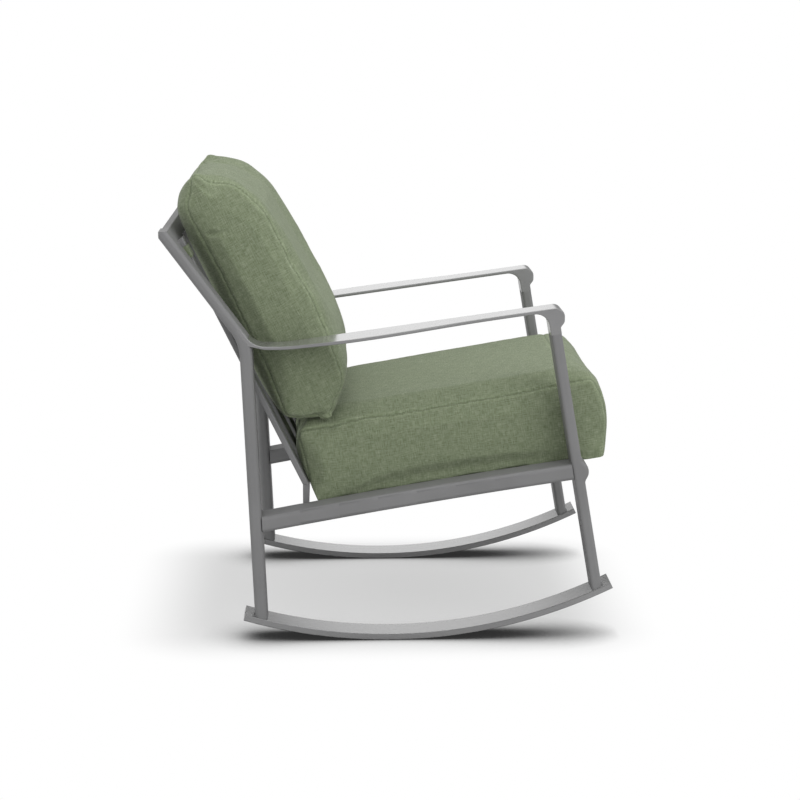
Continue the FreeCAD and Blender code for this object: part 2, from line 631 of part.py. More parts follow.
def back_side_corners():
    """Side view of the back cushion at its side seams, where its foot is set back."""
    base = back_cushion_base()
    heel = base + SEAT_FORWARD * BACK_CUSHION_SIDE_HEEL_DEPTH + SEAT_UP * BACK_CUSHION_SIDE_HEEL_LIFT
    foot = base + SEAT_FORWARD * BACK_CUSHION_SIDE_FOOT_DEPTH
    return back_corners(heel, foot, BACK_CUSHION_SIDE_CORNER, BACK_CUSHION_SIDE)


def strap():
    """Flat fabric loop round a side bar, which ties the back cushion on just behind its rear face."""
    def ring(reach_x, reach_depth, corner):
        box = Part.makeBox(2 * reach_x, 2 * reach_depth, STRAP_WIDTH, V(-reach_x, -reach_depth, 0))
        upright_edges = [edge for edge in box.Edges if edge.BoundBox.ZLength > STRAP_WIDTH / 2]
        return box.makeFillet(corner, upright_edges)

    hole_x = SIDE_BAR_WIDTH / 2 + STRAP_BAR_GAP
    hole_depth = SLAT_DEPTH / 2 + STRAP_BAR_GAP
    outside = ring(hole_x + STRAP_THICKNESS, hole_depth + STRAP_THICKNESS, STRAP_CORNER)
    loop = outside.cut(ring(hole_x, hole_depth, STRAP_CORNER - STRAP_THICKNESS))
    axis = leaning(SLAT_RECLINE)
    slat_axis = (SLAT_FOOT, axis)
    top = meet(slat_axis, (top_rail_corner(), V(0, -axis.z, axis.y)))
    base = top - axis * (STRAP_BELOW_RAIL + STRAP_WIDTH) - V(SIDE_BAR_X, 0, 0)
    loop.Placement = FreeCAD.Placement(base, FreeCAD.Rotation(V(0, 0, 1), axis))
    return loop


def across(shape):
    """The same piece on the other side of the chair."""
    return shape.mirror(V(0, 0, 0), V(1, 0, 0))


def chair_pieces():
    """All pieces of the chair by name."""
    post = back_post()
    right_side = {
        "rocker_right": rocker(),
        "front_leg_right": front_leg(),
        "back_post_right": post,
        "seat_rail_right": seat_rail(),
        "arm_right": arm(post),
        "cushion_strap_right": strap(),
    }
    pieces = dict(right_side)
    for name, shape in right_side.items():
        pieces[name.replace("right", "left")] = across(shape)
    rail = top_rail([post, across(post)])
    pieces["top_rail"] = rail
    pieces["back_side_bar_right"] = back_slat(-SIDE_BAR_X, SIDE_BAR_WIDTH, rail)
    pieces["back_slat_right"] = back_slat(-SLAT_PITCH, SLAT_WIDTH, rail)
    pieces["back_slat_middle"] = back_slat(0, SLAT_WIDTH, rail)
    pieces["back_slat_left"] = back_slat(SLAT_PITCH, SLAT_WIDTH, rail)
    pieces["back_side_bar_left"] = back_slat(SIDE_BAR_X, SIDE_BAR_WIDTH, rail)
    pieces["rear_seat_rail"] = rear_seat_rail()
    front, rear = front_rail_edges()
    pieces["front_seat_rail"] = seat_bar((front + rear) / 2, FRONT_RAIL_WIDTH, FRONT_RAIL_HEIGHT)
    for index, along in enumerate(seat_slat_places()):
        pieces["seat_slat_" + str(index + 1)] = seat_bar(along, SEAT_SLAT_WIDTH, SEAT_SLAT_THICKNESS)
    seat_side_thickness = SEAT_CUSHION_THICKNESS - SEAT_CUSHION_CROWN
    seat_side = seat_corners(seat_side_thickness, SEAT_CUSHION_CORNER, SEAT_CUSHION_CORNER)
    seat_middle = seat_corners(SEAT_CUSHION_THICKNESS, SEAT_CUSHION_CORNER, SEAT_CUSHION_ROUND)
    seat_zip = zip_between(seat_middle[1][0], seat_middle[2][0])
    back_side, back_middle = back_side_corners(), back_middle_corners()
    back_zip = zip_between(back_middle[-1][0], back_middle[0][0])
    for name, side, middle, (zip_strip, zip_pocket) in [("seat", seat_side, seat_middle, seat_zip),
                                                        ("back", back_side, back_middle, back_zip)]:
        cover, filling = cushion_pieces(side, middle, zip_pocket)
        pieces[name + "_cushion_cover"] = cover
        pieces[name + "_cushion_filling"] = filling
        pieces[name + "_cushion_zip"] = zip_strip
    return pieces


os.makedirs("parts", exist_ok=True)
for node, solid in chair_pieces().items():
    solid.exportStep("parts/" + node + ".step")
    box = solid.optimalBoundingBox()
    print(node, len(solid.Solids), solid.isValid(), round(solid.Volume), box)
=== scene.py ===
"""Looks of the outdoor rocking chair: grey powder-coated frame, two thick green cushions, studio stage."""
import json
import math

import bpy
import numpy as np
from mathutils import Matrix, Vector


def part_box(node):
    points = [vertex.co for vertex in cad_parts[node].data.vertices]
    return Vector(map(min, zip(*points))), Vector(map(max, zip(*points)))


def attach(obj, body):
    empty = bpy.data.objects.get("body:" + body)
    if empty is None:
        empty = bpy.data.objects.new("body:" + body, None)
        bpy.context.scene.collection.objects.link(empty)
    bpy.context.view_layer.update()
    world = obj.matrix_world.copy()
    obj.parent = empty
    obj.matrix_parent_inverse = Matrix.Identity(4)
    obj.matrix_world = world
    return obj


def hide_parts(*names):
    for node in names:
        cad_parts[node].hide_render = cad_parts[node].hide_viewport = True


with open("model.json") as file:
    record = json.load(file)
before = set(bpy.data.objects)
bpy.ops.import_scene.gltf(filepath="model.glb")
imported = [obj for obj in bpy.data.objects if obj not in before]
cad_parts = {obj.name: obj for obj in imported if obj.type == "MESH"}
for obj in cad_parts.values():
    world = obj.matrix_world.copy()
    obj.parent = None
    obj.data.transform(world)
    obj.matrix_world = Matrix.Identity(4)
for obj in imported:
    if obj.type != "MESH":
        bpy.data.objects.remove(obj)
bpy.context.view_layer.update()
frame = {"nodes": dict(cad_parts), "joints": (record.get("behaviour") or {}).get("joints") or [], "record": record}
scene = bpy.context.scene


# Welded frame: bent flat-bar rockers, oval legs, posts and rails, thin flat arms, slats and cross rails.
# All of it is aluminium, welded, ground and powder-coated grey, satin on the flat bars, matt elsewhere.
# The pieces keep their CAD shape.
GREY_COAT = (0.208, 0.208, 0.21)
SATIN_ROUGHNESS = 0.22
SATIN_SPECULAR = 0.7
MATT_ROUGHNESS = 0.45
MATT_SPECULAR = 0.3
ROUGHNESS_SPREAD = 0.05
COAT_GRAIN = 900.0
COAT_GRAIN_HEIGHT = 0.0002
COAT_GRAIN_STRENGTH = 0.05
COAT_CLOUD = 9.0
COAT_CLOUD_DARK = 0.94
COAT_CLOUD_PALE = 1.06
GLOSS_LAYER_SMOOTHER = 0.04
GLOSS_LAYER_INDEX = 1.7
FLAT_BARS = ("arm_", "rocker_")


def new_material(name):
    """Empty node material with a Principled shader: returns material, nodes, links and shader."""
    material = bpy.data.materials.new(name)
    material.use_nodes = True
    nodes = material.node_tree.nodes
    nodes.clear()
    shader = nodes.new("ShaderNodeBsdfPrincipled")
    output = nodes.new("ShaderNodeOutputMaterial")
    links = material.node_tree.links
    links.new(shader.outputs["BSDF"], output.inputs["Surface"])
    return material, nodes, links, shader


def noise(nodes, links, vector, scale, detail=2.0, roughness=0.5):
    """Noise texture on a coordinate output."""
    texture = nodes.new("ShaderNodeTexNoise")
    texture.inputs["Scale"].default_value = scale
    texture.inputs["Detail"].default_value = detail
    texture.inputs["Roughness"].default_value = roughness
    links.new(vector, texture.inputs["Vector"])
    return texture.outputs["Fac"]


def ramp(nodes, links, value, stops):
    """Colour ramp through (position, colour) stops."""
    node = nodes.new("ShaderNodeValToRGB")
    elements = node.color_ramp.elements
    while len(elements) < len(stops):
        elements.new(0.5)
    for element, (position, colour) in zip(elements, stops):
        element.position = position
        element.color = (*colour, 1.0)
    links.new(value, node.inputs["Fac"])
    return node.outputs["Color"]


def bump(nodes, links, height, distance, strength):
    """Bump node on a height value."""
    node = nodes.new("ShaderNodeBump")
    node.inputs["Strength"].default_value = strength
    node.inputs["Distance"].default_value = distance
    links.new(height, node.inputs["Height"])
    return node.outputs["Normal"]


def shade(colour, factor):
    """Colour times a factor."""
    return tuple(channel * factor for channel in colour)


def powder_coat(name, roughness, specular, gloss_layer):
    """Grey coat: fine sprayed grain, faint clouds in tone, and a gloss layer where the bars are smoothed."""
    material, nodes, links, shader = new_material(name)
    place = nodes.new("ShaderNodeTexCoord").outputs["Object"]
    cloud = noise(nodes, links, place, COAT_CLOUD, detail=3.0)
    stops = [(0.3, shade(GREY_COAT, COAT_CLOUD_DARK)), (0.7, shade(GREY_COAT, COAT_CLOUD_PALE))]
    links.new(ramp(nodes, links, cloud, stops), shader.inputs["Base Color"])
    grain = noise(nodes, links, place, COAT_GRAIN, detail=1.0)
    gloss = nodes.new("ShaderNodeMapRange")
    gloss.inputs["To Min"].default_value = roughness - ROUGHNESS_SPREAD
    gloss.inputs["To Max"].default_value = roughness + ROUGHNESS_SPREAD
    links.new(grain, gloss.inputs["Value"])
    links.new(gloss.outputs["Result"], shader.inputs["Roughness"])
    sprayed = bump(nodes, links, grain, COAT_GRAIN_HEIGHT, COAT_GRAIN_STRENGTH)
    links.new(sprayed, shader.inputs["Normal"])
    shader.inputs["Specular IOR Level"].default_value = specular
    shader.inputs["Coat Weight"].default_value = gloss_layer
    shader.inputs["Coat Roughness"].default_value = roughness - GLOSS_LAYER_SMOOTHER
    shader.inputs["Coat IOR"].default_value = GLOSS_LAYER_INDEX
    return material


satin_coat = powder_coat("grey_powder_coat_flat_bars", SATIN_ROUGHNESS, SATIN_SPECULAR, 1.0)
matt_coat = powder_coat("grey_powder_coat_tubes", MATT_ROUGHNESS, MATT_SPECULAR, 0.0)
frame_nodes = [part["node"] for part in frame["record"]["subparts"]
               if part["material_slot"] == "frame_metal"]
for node in frame_nodes:
    mesh = frame["nodes"][node].data
    mesh.materials.clear()
    mesh.materials.append(satin_coat if node.startswith(FLAT_BARS) else matt_coat)


# Seat cushion: a thick foam block in a boxed cover of woven outdoor fabric, top and bottom panels
# sewn to an upright band. It is loose, rests on the seat slats and stops against the rear seat rail.
# The CAD filling, evened out and blown up as cloth, gives the form; seams are drawn in afterwards.
SAGE = (0.196, 0.233, 0.144)
SAGE_DARK = (0.114, 0.143, 0.077)
SAGE_PALE = (0.308, 0.346, 0.247)
THREAD_FINE = 470.0
THREAD_LONG = 60.0
THREAD_HEIGHT = 0.0009
THREAD_STRENGTH = 0.55
CLOTH_PATCH = 26.0
PATCH_SHARE = 0.8
PATCH_DARK = (0.9, 0.905, 0.9)
PATCH_PALE = (1.07, 1.065, 1.07)
# Painted seam light: tone factors over the distance to a seam, painted shade in the groove and a painted highlight
# on its shoulders.
SEAM_SHADE_AND_HIGHLIGHT = [(0.0, (0.84, 0.85, 0.83)), (0.15, (0.86, 0.87, 0.85)), (0.35, (1.15, 1.15, 1.15)),
              (0.6, (1.12, 1.12, 1.12)), (1.0, (1.0, 1.0, 1.0))]
SEAM_SHADE_REACH = 0.010
SEAM_WIDTH = 0.0036
SEAM_DEPTH = 0.0014
SEAM_STEP = 0.003
SEAM_POINTS = 240
SEAM_SQUARENESS = 4
SHOULDER_RISE = 0.0006
SHOULDER_PLACE = 2.6 * SEAM_WIDTH
SHOULDER_WIDTH = 1.5 * SEAM_WIDTH
PUCKER_DEPTH = 0.0003
PUCKER_PITCH = 0.03
PUCKER_REACH = 0.012
DENT_DEPTH = 0.0009
DENT_PITCH = 0.17
SMALL_DENT_PITCH = 0.08
SMALL_DENT_SHARE = 0.5
FOLD_STEP = 0.002
FOLD_SIDE_FROM = 0.255
FOLD_SIDE_FADE = 0.015
FOLD_RIDGE_PLACE = 2.2
FOLD_RIDGE_SHARE = 0.4
RIPPLE_WAVES = 7
RIPPLE_TOP = 4.0
NEAREST_BLOCK = 4000
VOXEL = 0.006
VOXEL_SOFTENING = 4
COVER_FRAMES = 20
COVER_PRESSURE = 1.2
COVER_BENDING = 0.6
COVER_SWELL_CAP = 0.009
SIDE_PUFF = 0.007
SIDE_PANEL_MATCH = 0.0002
CLEARANCE = 0.0015
BACK_TILT = math.radians(26.2)
SEAT_SEED = 3
SEAT_SINK = 0.012
SEAT_SINK_HEIGHT = 0.05
SEAT_PRESS = 0.007
SEAT_PRESS_FRONT = 0.03
SEAT_PRESS_ASIDE = 0.15
SEAT_PRESS_FADE = 0.1
SEAT_REAR_FOOT = 0.028
SEAT_REAR_FOOT_HEIGHT = 0.08
SEAT_REAR_FOOT_FRONT = -0.04
SEAT_REAR_FOOT_FADE = 0.1
SEAT_SQUARE = 0.016
SEAT_SQUARE_HEIGHT = 0.045
SEAT_SQUARE_ASIDE = 0.22
SEAT_SQUARE_FADE = 0.05
SEAT_SAG = 0.005
SEAT_SAG_HEIGHT = 0.02
SLAT_EDGE = 0.003
SLAT_EDGE_FADE = 0.012
SEAT_BANDS = [(0.436, 0.150, 0.166), (0.440, 0.006, 0.006), (-0.158, 0.150, 0.166)]


def woven_fabric(name, base, dark, pale, sewn=False):
    """Heathered weave on the cover's own UV map, in metres: slubs along warp and weft, and a thread bump.

    On a sewn cover the tone also follows the distance to the nearest seam: painted shade in its groove and a
    painted highlight along the shoulders beside it.
    """
    material, nodes, links, shader = new_material(name)
    uv = nodes.new("ShaderNodeUVMap")
    uv.uv_map = "cloth"

    def threads(scale_u, scale_v, detail):
        stretch = nodes.new("ShaderNodeMapping")
        stretch.inputs["Scale"].default_value = (scale_u, scale_v, 1.0)
        links.new(uv.outputs["UV"], stretch.inputs["Vector"])
        return noise(nodes, links, stretch.outputs["Vector"], 1.0, detail, 0.65)

    def mix(kind, factor, first, second):
        node = nodes.new("ShaderNodeMix")
        node.data_type = "RGBA"
        node.blend_type = kind
        node.inputs["Factor"].default_value = factor
        links.new(first, node.inputs["A"])
        links.new(second, node.inputs["B"])
        return node.outputs["Result"]

    weft = threads(THREAD_LONG, THREAD_FINE, 3.0)
    warp = threads(THREAD_FINE, THREAD_LONG, 3.0)
    patch = threads(CLOTH_PATCH, CLOTH_PATCH, 4.0)
    tones = [(0.3, dark), (0.5, base), (0.7, pale)]
    woven = mix("MIX", 0.5, ramp(nodes, links, weft, tones), ramp(nodes, links, warp, tones))
    cloudy = ramp(nodes, links, patch, [(0.3, PATCH_DARK), (0.7, PATCH_PALE)])
    cloth = mix("MULTIPLY", PATCH_SHARE, woven, cloudy)
    if sewn:
        # Painted shade in each seam's groove and a painted highlight on its shoulders, from the distance to the
        # seam.
        seam_gap = nodes.new("ShaderNodeAttribute")
        seam_gap.attribute_name = "seam_gap"
        metres = nodes.new("ShaderNodeMapRange")
        metres.inputs["From Max"].default_value = SEAM_SHADE_REACH
        links.new(seam_gap.outputs["Fac"], metres.inputs["Value"])
        cloth = mix("MULTIPLY", 1.0, cloth, ramp(nodes, links, metres.outputs["Result"], SEAM_SHADE_AND_HIGHLIGHT))
    links.new(cloth, shader.inputs["Base Color"])
    height = nodes.new("ShaderNodeMath")
    height.operation = "ADD"
    links.new(weft, height.inputs[0])
    links.new(warp, height.inputs[1])
    thread_bump = bump(nodes, links, height.outputs["Value"], THREAD_HEIGHT, THREAD_STRENGTH)
    links.new(thread_bump, shader.inputs["Normal"])
    shader.inputs["Roughness"].default_value = 0.92
    shader.inputs["Specular IOR Level"].default_value = 0.2
    shader.inputs["Sheen Weight"].default_value = 0.1
    shader.inputs["Sheen Roughness"].default_value = 0.5
    return material


sage_weave = woven_fabric("sage_weave", SAGE, SAGE_DARK, SAGE_PALE, sewn=True)


def get_points(mesh):
    """Vertex places of a mesh as an array, in metres."""
    points = np.empty(len(mesh.vertices) * 3)
    mesh.vertices.foreach_get("co", points)
    return points.reshape(-1, 3)


def set_points(mesh, points):
    """Writes vertex places back."""
    mesh.vertices.foreach_set("co", points.ravel())
    mesh.update()


def node_points(node):
    """Vertices of a CAD node."""
    return get_points(frame["nodes"][node].data)


def smooth_shaded(mesh, material):
    """Gives a mesh one material and smooth shading."""
    mesh.materials.clear()
    mesh.materials.append(material)
    mesh.polygons.foreach_set("use_smooth", np.ones(len(mesh.polygons), dtype=bool))
    mesh.update()


def bake_modifiers(piece):
    """Makes a piece's modifiers part of its mesh."""
    graph = bpy.context.evaluated_depsgraph_get()
    mesh = bpy.data.meshes.new_from_object(piece.evaluated_get(graph))
    piece.modifiers.clear()
    piece.data = mesh


def even_copy(name, node):
    """Object with an even, softened voxel mesh of a closed CAD node."""
    mesh = frame["nodes"][node].data.copy()
    piece = bpy.data.objects.new(name, mesh)
    scene.collection.objects.link(piece)
    even = piece.modifiers.new("even", "REMESH")
    even.mode = "VOXEL"
    even.voxel_size = VOXEL
    soften = piece.modifiers.new("soften", "SMOOTH")
    soften.factor = 0.5
    soften.iterations = VOXEL_SOFTENING
    bake_modifiers(piece)
    return piece


def inflate(piece):
    """Blows a closed cover up by cloth pressure without gravity; no point moves further than the cap."""
    before = get_points(piece.data)
    modifier = piece.modifiers.new("cloth", "CLOTH")
    settings = modifier.settings
    settings.quality = 5
    settings.bending_stiffness = COVER_BENDING
    settings.use_pressure = True
    settings.uniform_pressure_force = COVER_PRESSURE
    settings.effector_weights.gravity = 0.0
    modifier.point_cache.frame_start = 1
    modifier.point_cache.frame_end = COVER_FRAMES
    for number in range(1, COVER_FRAMES + 1):
        scene.frame_set(number)
    bake_modifiers(piece)
    scene.frame_set(1)
    moved = get_points(piece.data) - before
    length = np.linalg.norm(moved, axis=1, keepdims=True)
    moved *= np.minimum(1.0, COVER_SWELL_CAP / np.maximum(length, 1e-9))
    set_points(piece.data, before + moved)


def remember_rest(piece):
    """Keeps every point's place before inflation as an attribute, which subdivision carries along."""
    points = get_points(piece.data)
    attribute = piece.data.attributes.new("rest_place", "FLOAT_VECTOR", "POINT")
    attribute.data.foreach_set("vector", points.astype(np.float32).ravel())


def rest_places(piece):
    """Places kept by remember_rest, for the points that the piece has now."""
    data = piece.data.attributes["rest_place"].data
    points = np.empty(len(data) * 3, dtype=np.float32)
    data.foreach_get("vector", points)
    return points.reshape(-1, 3).astype(float)


def point_normals(mesh):
    """Vertex normals as an array."""
    normals = np.empty(len(mesh.vertices) * 3, dtype=np.float32)
    mesh.vertex_normals.foreach_get("vector", normals)
    return normals.reshape(-1, 3).astype(float)


def nearest_on(points, path):
    """Distance from each point to a path's points, and the index of the nearest one."""
    distance = np.empty(len(points))
    nearest = np.empty(len(points), dtype=int)
    for start in range(0, len(points), NEAREST_BLOCK):
        block = slice(start, start + NEAREST_BLOCK)
        squared = ((points[block, None, :] - path[None, :, :]) ** 2).sum(axis=2)
        nearest[block] = squared.argmin(axis=1)
        distance[block] = np.sqrt(squared.min(axis=1))
    return distance, nearest


def resampled(path, step):
    """Points at even steps along a line of points."""
    lengths = np.concatenate([[0.0], np.cumsum(np.linalg.norm(np.diff(path, axis=0), axis=1))])
    along = np.arange(0.0, lengths[-1], step)
    return np.stack([np.interp(along, lengths, path[:, axis]) for axis in range(3)], axis=1)


def side_panel_seams(node):
    """Closed lines where the two side panels meet the rest: CAD points at that width, in turn order."""
    points = node_points(node)
    seam_x = np.abs(points[:, 0]).max() - SIDE_PUFF
    loops = []
    for side in (-1.0, 1.0):
        loop = points[np.abs(points[:, 0] - side * seam_x) < SIDE_PANEL_MATCH]
        centre = loop.mean(axis=0)
        order = np.argsort(np.arctan2(loop[:, 2] - centre[2], loop[:, 1] - centre[1]))
        loop = loop[order]
        loops.append(resampled(np.concatenate([loop, loop[:1]]), SEAM_STEP))
    return loops


def squarish_arc(share):
    """Height of a squarish circle over its width: 0 at shares -1 and 1, about 1 over most of the middle."""
    return (1 - np.abs(share) ** SEAM_SQUARENESS) ** (1 / SEAM_SQUARENESS)


def ripple(points, pitch, seed):
    """Smooth uneven waves through space: a sum of sines with fixed directions, about -1 to 1."""
    rng = np.random.default_rng(seed)
    directions = rng.normal(size=(RIPPLE_WAVES, 3))
    directions *= (2 * math.pi / pitch) / np.linalg.norm(directions, axis=1, keepdims=True)
    phases = rng.uniform(0, 2 * math.pi, RIPPLE_WAVES)
    return np.sin(points @ directions.T + phases).sum(axis=1) / RIPPLE_TOP


def soft_step(value):
    """0 below 0, 1 above 1, smooth between."""
    share = np.clip(value, 0, 1)
    return share * share * (3 - 2 * share)


def fold_depth(points, folds):
    """Depth of soft creases in the side panels: a bell across each fold's line, less a ridge beside it.

    Each fold is (start, end, depth, half width) in the side view.
    """
    on_side = soft_step((np.abs(points[:, 0]) - FOLD_SIDE_FROM) / FOLD_SIDE_FADE)
    flat = points * np.array([0.0, 1.0, 1.0])
    depth = np.zeros(len(points))
    for start, end, deep, width in folds:
        line = resampled(np.array([(0.0, *start), (0.0, *end)]), FOLD_STEP)
        distance = nearest_on(flat, line)[0]
        ridge = np.exp(-((distance - FOLD_RIDGE_PLACE * width) / width) ** 2)
        depth += deep * on_side * (np.exp(-(distance / width) ** 2) - FOLD_RIDGE_SHARE * ridge)
    return depth


def sew(piece, paths, folds, seed):
    """Draws the cover in along its normals: a bell-shaped groove at each seam between two low shoulders.

    Puckers along the seams, folds and soft dents all over are added to it.
    """
    mesh = piece.data
    rest = rest_places(piece)
    path = np.concatenate([rest[nearest_on(path, rest)[1]] for path in paths])
    distance, nearest = nearest_on(rest, path)
    seam_gap = mesh.attributes.new("seam_gap", "FLOAT", "POINT")
    seam_gap.data.foreach_set("value", distance.astype(np.float32))
    groove = np.exp(-(distance / SEAM_WIDTH) ** 2)
    shoulder = np.exp(-((distance - SHOULDER_PLACE) / SHOULDER_WIDTH) ** 2)
    pucker = ripple(path[nearest], PUCKER_PITCH, seed) * np.exp(-distance / PUCKER_REACH)
    dents = ripple(rest, DENT_PITCH, seed + 1)
    dents += SMALL_DENT_SHARE * ripple(rest, SMALL_DENT_PITCH, seed + 2)
    inward = SEAM_DEPTH * groove - SHOULDER_RISE * shoulder + PUCKER_DEPTH * pucker + DENT_DEPTH * dents
    inward += fold_depth(rest, folds)
    set_points(mesh, get_points(mesh) - point_normals(mesh) * inward[:, None])


def cloth_uv(piece, axes):
    """UV map in metres: each face is laid flat along the cover axis that it faces most."""
    mesh = piece.data
    local = rest_places(piece) @ axes.T
    normals = np.empty(len(mesh.polygons) * 3, dtype=np.float32)
    mesh.polygons.foreach_get("normal", normals)
    facing = np.abs(normals.reshape(-1, 3) @ axes.T).argmax(axis=1)
    loop_vertex = np.empty(len(mesh.loops), dtype=np.int32)
    mesh.loops.foreach_get("vertex_index", loop_vertex)
    totals = np.empty(len(mesh.polygons), dtype=np.int32)
    mesh.polygons.foreach_get("loop_total", totals)
    flat = np.array([[1, 2], [0, 2], [0, 1]])[np.repeat(facing, totals)]
    uv = np.take_along_axis(local[loop_vertex], flat, axis=1)
    layer = mesh.uv_layers.new(name="cloth")
    layer.data.foreach_set("uv", uv.astype(np.float32).ravel())


def cushion(name, node, shape, limit, paths, folds, axes, seed):
    """Cover of one cushion: even mesh, shaping, inflation, subdivision, seams, limits, weave map."""
    piece = even_copy(name, node)
    set_points(piece.data, shape(get_points(piece.data)))
    remember_rest(piece)
    inflate(piece)
    finer = piece.modifiers.new("finer", "SUBSURF")
    finer.levels = 1
    finer.render_levels = 1
    bake_modifiers(piece)
    sew(piece, [shape(path) for path in paths], folds, seed)
    set_points(piece.data, limit(get_points(piece.data)))
    cloth_uv(piece, axes)
    smooth_shaded(piece.data, sage_weave)
    return piece


across = np.array([1.0, 0.0, 0.0])
seat_forward = np.array(frame["joints"][0]["axis"])
seat_up = np.cross(across, seat_forward) * np.sign(np.cross(across, seat_forward)[2])
seat_axes = np.stack([across, seat_forward, seat_up])
seat_local = node_points("seat_cushion_cover") @ seat_axes.T
seat_low = seat_local.min(axis=0)
seat_high = seat_local.max(axis=0)
side_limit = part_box("arm_left")[0].x - CLEARANCE
back_up = np.array([0.0, math.sin(BACK_TILT), math.cos(BACK_TILT)])
back_forward = np.array([0.0, -math.cos(BACK_TILT), math.sin(BACK_TILT)])
back_axes = np.stack([across, back_up, back_forward])
back_slat_face = (node_points("back_slat_middle") @ back_forward).max()
rear_rail_low, rear_rail_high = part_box("rear_seat_rail")
seat_slats = [node_points(node) @ seat_forward for node in frame_nodes if node.startswith("seat_slat_")]
slat_spans = [(slat.min(), slat.max()) for slat in seat_slats]


def seat_shape(points):
    """Sinks the lower edges onto the slats, presses the top under the back cushion, draws the rear foot out.

    Each is a move along one seat axis that fades with height and over a smooth step.
    """
    local = points @ seat_axes.T
    local[:, 2] -= SEAT_SINK * np.exp(-(local[:, 2] - seat_low[2]) / SEAT_SINK_HEIGHT)
    under_back = soft_step((SEAT_PRESS_FRONT - local[:, 1]) / SEAT_PRESS_FADE)
    under_back *= soft_step((np.abs(local[:, 0]) - SEAT_PRESS_ASIDE) / SEAT_PRESS_FADE)
    upper = soft_step((local[:, 2] - seat_low[2]) / (seat_high[2] - seat_low[2]) * 2 - 1)
    local[:, 2] -= SEAT_PRESS * under_back * upper
    foot = np.exp(-(local[:, 2] - seat_low[2]) / SEAT_REAR_FOOT_HEIGHT)
    rear = soft_step((SEAT_REAR_FOOT_FRONT - local[:, 1]) / SEAT_REAR_FOOT_FADE)
    local[:, 1] -= SEAT_REAR_FOOT * foot * rear
    return local @ seat_axes


def seat_seams():
    """Side panel seams, and the seams of the front and rear bands along the top and bottom panels."""
    share = np.linspace(-1.0, 1.0, SEAM_POINTS)
    seam_x = seat_high[0] - SIDE_PUFF
    paths = side_panel_seams("seat_cushion_filling")
    for forward, side_height, middle_height in SEAT_BANDS:
        height = side_height + (middle_height - side_height) * squarish_arc(share)
        local = np.stack([share * seam_x, np.full(len(share), forward), seat_low[2] + height], axis=1)
        paths.append(local @ seat_axes)
    return paths


def clear_of_back_slats(points):
    """Moves points that lie behind the front of the back slats out to just before it."""
    into_slats = np.minimum(points @ back_forward - back_slat_face - CLEARANCE, 0)
    return points - into_slats[:, None] * back_forward


def seat_limit(points):
    """Squares the foot, lets it sag between the slats, and keeps it clear of slats, arms and rear rail."""
    local = points @ seat_axes.T
    lift = np.maximum(local[:, 2] - seat_low[2], 0)
    wide = soft_step((np.abs(local[:, 0]) - SEAT_SQUARE_ASIDE) / SEAT_SQUARE_FADE)
    low_edge = np.clip(1 - lift / SEAT_SQUARE_HEIGHT, 0, 1) ** 2
    side_reach = min(np.abs(local[:, 0]).max(), side_limit)
    local[:, 0] += np.sign(local[:, 0]) * SEAT_SQUARE * low_edge * wide
    local[:, 0] = np.clip(local[:, 0], -side_reach, side_reach)
    local[:, 1] = np.minimum(local[:, 1], seat_high[1])
    over_slat = np.zeros(len(local))
    for rear, front in slat_spans:
        beside = np.maximum(np.maximum(rear - local[:, 1], local[:, 1] - front), 0)
        over_slat = np.maximum(over_slat, 1 - soft_step((beside - SLAT_EDGE) / SLAT_EDGE_FADE))
    sag = SEAT_SAG * (1 - over_slat)
    local[:, 2] -= sag * np.exp(-lift / SEAT_SAG_HEIGHT)
    local[:, 2] = np.clip(local[:, 2], seat_low[2] - sag, seat_high[2])
    points = clear_of_back_slats(local @ seat_axes)
    beside_rail = points[:, 2] < rear_rail_high.z + CLEARANCE
    points[beside_rail, 1] = np.minimum(points[beside_rail, 1], rear_rail_low.y - CLEARANCE)
    return points


seat_cushion = cushion("seat_cushion", "seat_cushion_filling", seat_shape, seat_limit,
                       seat_seams(), [], seat_axes, SEAT_SEED)
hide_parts("seat_cushion_cover", "seat_cushion_filling")
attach(seat_cushion, "seat_cushion")


# Back cushion: a soft fibre-filled cover with two leaf-shaped side panels, sewn to a front and a rear panel
# that meet in seams along its top and its foot. It leans on the slats, tied to the side bars by straps.
BACK_SEED = 11
BACK_ASIDE = 0.17
BACK_ASIDE_FADE = 0.1
SLIM_MIDDLE = 0.022
SLIM_SIDE = 0.004
SLIM_FROM = 0.58
SLIM_RISE = 0.12
SLIM_DEPTH_FROM = 0.03
SLIM_DEPTH_FADE = 0.1
FOOT_HANG = 0.022
FOOT_HANG_MIDDLE = 0.005
FOOT_HANG_REAR = -0.2
FOOT_HANG_FADE = 0.12
FOOT_REACH = 0.035
BACK_EARS = [((0.274, 0.380, 0.906), 0.024, (0.004, 0.002, 0.013)),
             ((0.274, 0.116, 0.428), 0.018, (0.004, -0.006, -0.012))]
BACK_SEAMS = [((0.380, 0.904), (0.392, 0.905)), ((0.122, 0.440), (0.104, 0.452))]
BACK_FOLDS = [((0.350, 0.799), (0.313, 0.806), 0.0022, 0.004),
              ((0.167, 0.528), (0.137, 0.446), 0.0016, 0.003),
              ((0.165, 0.427), (0.106, 0.444), 0.0045, 0.005),
              ((0.345, 0.880), (0.372, 0.902), 0.0020, 0.004)]


def pulled(points, centre, reach, move):
    """Draws the points near centre out by move, fading as a bell over reach; both sides alike."""
    for side in (-1.0, 1.0):
        mirror = np.array([side, 1.0, 1.0])
        distance = np.linalg.norm(points - np.array(centre) * mirror, axis=1)
        points = points + np.exp(-(distance / reach) ** 2)[:, None] * np.array(move) * mirror
    return points


